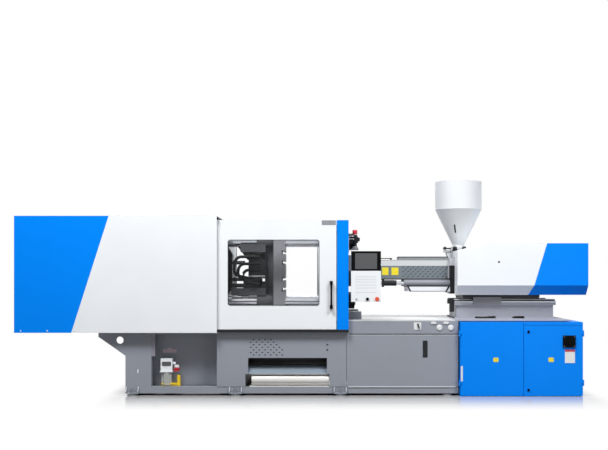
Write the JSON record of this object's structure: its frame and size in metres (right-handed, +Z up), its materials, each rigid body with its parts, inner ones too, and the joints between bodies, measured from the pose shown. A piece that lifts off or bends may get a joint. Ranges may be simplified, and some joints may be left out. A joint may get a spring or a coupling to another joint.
{
  "type": "injection moulding machine",
  "caption": "Horizontal toggle-clamp injection moulding machine: sliding safety doors, hopper, covered injection unit, control panel and electrical cabinet on a welded bed.",
  "frame": {"origin": "centre of the machine's outer box, on the floor", "axes": "+X from the clamp end to the injection end, +Z up, the operator's side faces -Y"},
  "size_m": [5.24, 1.375, 1.985],
  "materials": {
    "white_paint": "semi-gloss powder coat",
    "blue_paint": "semi-gloss powder coat",
    "base_grey_paint": "satin paint",
    "light_grey_paint": "satin",
    "cast_grey": "painted casting",
    "bright_steel": "ground",
    "black_plastic": "matt",
    "clear_pane": "clear polycarbonate",
    "red_plastic": "gloss",
    "amber_reservoir": "clear plastic with oil"
  },
  "bodies": {
    "bed": {"bed_frame": "base_grey_paint", "deck": "light_grey_paint", "clamp_ways": "bright_steel", "levelling_feet": "cast_grey", "grille_panel": "base_grey_paint", "side_panels": "base_grey_paint", "product_chute": "light_grey_paint", "fixed_platen": "cast_grey", "tie_bars": "bright_steel", "tie_bar_nuts": "black_plastic", "platen_arch": "blue_paint", "clamp_guard": "white_paint", "clamp_guard_end": "blue_paint", "door_rails": "cast_grey", "cabinet_shell": "blue_paint", "panel_arm": "cast_grey", "injection_base": "cast_grey", "carriage_rods": "bright_steel", "lube_pump": "white_paint", "lube_reservoir": "amber_reservoir"},
    "tailstock": {"tailstock": "cast_grey", "clamp_drive": "base_grey_paint"},
    "upper_rear_link": {"upper_rear_link": "cast_grey"},
    "lower_rear_link": {"lower_rear_link": "cast_grey"},
    "upper_front_link": {"upper_front_link": "cast_grey"},
    "lower_front_link": {"lower_front_link": "cast_grey"},
    "upper_drive_link": {"upper_drive_link": "cast_grey"},
    "lower_drive_link": {"lower_drive_link": "cast_grey"},
    "crosshead": {"crosshead": "cast_grey"},
    "moving_platen": {"moving_platen": "cast_grey"},
    "ejector": {"ejector": "bright_steel"},
    "front_door": {"front_door": "white_paint", "front_window": "clear_pane", "front_handle": "black_plastic"},
    "rear_door": {"rear_door": "white_paint", "rear_window": "clear_pane"},
    "cabinet_door_left": {"cabinet_door_left": "blue_paint"},
    "cabinet_door_right": {"cabinet_door_right": "blue_paint", "isolator_plate": "black_plastic"},
    "isolator_knob": {"isolator_knob": "red_plastic"},
    "control_panel": {"control_panel": "white_paint", "screen_frame": "black_plastic"},
    "stop_button": {"stop_button": "red_plastic"},
    "mode_knob": {"mode_knob": "black_plastic"},
    "carriage": {"carriage": "cast_grey", "barrel": "bright_steel", "heater_bands": "bright_steel", "barrel_guard": "white_paint", "carriage_cylinders": "base_grey_paint", "drip_tray": "white_paint", "injection_cover": "white_paint", "injection_cover_end": "blue_paint", "hopper_foot": "black_plastic", "hopper_cone": "light_grey_paint", "hopper_drum": "light_grey_paint"},
    "injection_slide": {"injection_slide": "base_grey_paint"},
    "screw": {"screw": "bright_steel"},
    "hopper_lid": {"hopper_lid": "light_grey_paint"},
    "hopper_gate": {"hopper_gate": "bright_steel"},
    "purge_guard": {"purge_guard": "white_paint"}
  },
  "joints": [
    {"name": "mould_height", "type": "slide", "parent": "bed", "child": "tailstock", "axis": [1, 0, 0], "range_m": [-0.25, 0]},
    {"name": "toggle", "type": "hinge", "parent": "tailstock", "child": "upper_rear_link", "pos_m": [-0.88, 0, 1.27], "axis": [0, 1, 0], "range_deg": [-20.37, 51.13]},
    {"name": "upper_knee", "type": "hinge", "parent": "upper_rear_link", "child": "upper_front_link", "pos_m": [-0.7, 0, 1.51], "axis": [0, 1, 0], "range_deg": [-102.4, 40.9]},
    {"name": "platen_pivot", "type": "hinge", "parent": "upper_front_link", "child": "moving_platen", "pos_m": [-0.52, 0, 1.27], "axis": [0, 1, 0], "range_deg": [-20.5, 51.3]},
    {"name": "lower_toggle", "type": "hinge", "parent": "tailstock", "child": "lower_rear_link", "pos_m": [-0.88, 0, 0.99], "axis": [0, 1, 0], "range_deg": [-51.3, 20.5]},
    {"name": "lower_knee", "type": "hinge", "parent": "lower_rear_link", "child": "lower_front_link", "pos_m": [-0.7, 0, 0.75], "axis": [0, 1, 0], "range_deg": [-40.9, 102.4]},
    {"name": "upper_drive", "type": "hinge", "parent": "upper_rear_link", "child": "upper_drive_link", "pos_m": [-0.8008, 0, 1.39739], "axis": [0, 1, 0], "range_deg": [-102.4, 40.9]},
    {"name": "crosshead_pivot", "type": "hinge", "parent": "upper_drive_link", "child": "crosshead", "pos_m": [-0.7216, 0, 1.27], "axis": [0, 1, 0], "range_deg": [-20.5, 51.3]},
    {"name": "lower_drive", "type": "hinge", "parent": "lower_rear_link", "child": "lower_drive_link", "pos_m": [-0.8008, 0, 0.86261], "axis": [0, 1, 0], "range_deg": [-40.9, 102.4]},
    {"name": "ejector_stroke", "type": "slide", "parent": "moving_platen", "child": "ejector", "axis": [1, 0, 0], "range_m": [0, 0.12]},
    {"name": "front_door_slide", "type": "slide", "parent": "bed", "child": "front_door", "axis": [-1, 0, 0], "range_m": [0, 0.9]},
    {"name": "rear_door_slide", "type": "slide", "parent": "bed", "child": "rear_door", "axis": [-1, 0, 0], "range_m": [0, 0.9]},
    {"name": "carriage_slide", "type": "slide", "parent": "bed", "child": "carriage", "axis": [1, 0, 0], "range_m": [-0.065, 0.2]},
    {"name": "injection_stroke", "type": "slide", "parent": "carriage", "child": "injection_slide", "axis": [1, 0, 0], "range_m": [0, 0.18]},
    {"name": "screw_spin", "type": "hinge", "parent": "injection_slide", "child": "screw", "pos_m": [1.76, 0, 1.13], "axis": [1, 0, 0], "continuous": true},
    {"name": "hopper_lid_hinge", "type": "hinge", "parent": "carriage", "child": "hopper_lid", "pos_m": [1.4715, 0.23, 1.973], "axis": [-1, 0, 0], "range_deg": [0, 95]},
    {"name": "hopper_gate_slide", "type": "slide", "parent": "carriage", "child": "hopper_gate", "axis": [-1, 0, 0], "range_m": [0, 0.115]},
    {"name": "purge_guard_hinge", "type": "hinge", "parent": "bed", "child": "purge_guard", "pos_m": [0.465, 0.155, 1.27], "axis": [-1, 0, 0], "range_deg": [0, 95]},
    {"name": "panel_swivel", "type": "hinge", "parent": "bed", "child": "control_panel", "pos_m": [0.549, -0.6, 1.05], "axis": [0, 0, 1], "range_deg": [-40, 40]},
    {"name": "stop_press", "type": "slide", "parent": "control_panel", "child": "stop_button", "axis": [0, 1, 0], "range_m": [0, 0.005]},
    {"name": "mode_turn", "type": "hinge", "parent": "control_panel", "child": "mode_knob", "pos_m": [0.561, -0.68, 0.877], "axis": [0, -1, 0], "range_deg": [0, 90]},
    {"name": "cabinet_left_hinge", "type": "hinge", "parent": "bed", "child": "cabinet_door_left", "pos_m": [1.396, -0.652, 0.3], "axis": [0, 0, 1], "range_deg": [-110, 0]},
    {"name": "cabinet_right_hinge", "type": "hinge", "parent": "bed", "child": "cabinet_door_right", "pos_m": [2.509, -0.652, 0.3], "axis": [0, 0, 1], "range_deg": [0, 110]},
    {"name": "isolator_turn", "type": "hinge", "parent": "cabinet_door_right", "child": "isolator_knob", "pos_m": [2.379, -0.67, 0.495], "axis": [0, -1, 0], "range_deg": [0, 90]}
  ],
  "couplings": [
    {"joint": "upper_knee", "follows": "toggle", "ratio": -2},
    {"joint": "platen_pivot", "follows": "toggle", "ratio": 1},
    {"joint": "lower_toggle", "follows": "toggle", "ratio": -1},
    {"joint": "lower_knee", "follows": "toggle", "ratio": 2},
    {"joint": "upper_drive", "follows": "toggle", "ratio": -2},
    {"joint": "crosshead_pivot", "follows": "toggle", "ratio": 1},
    {"joint": "lower_drive", "follows": "toggle", "ratio": 2}
  ]
}
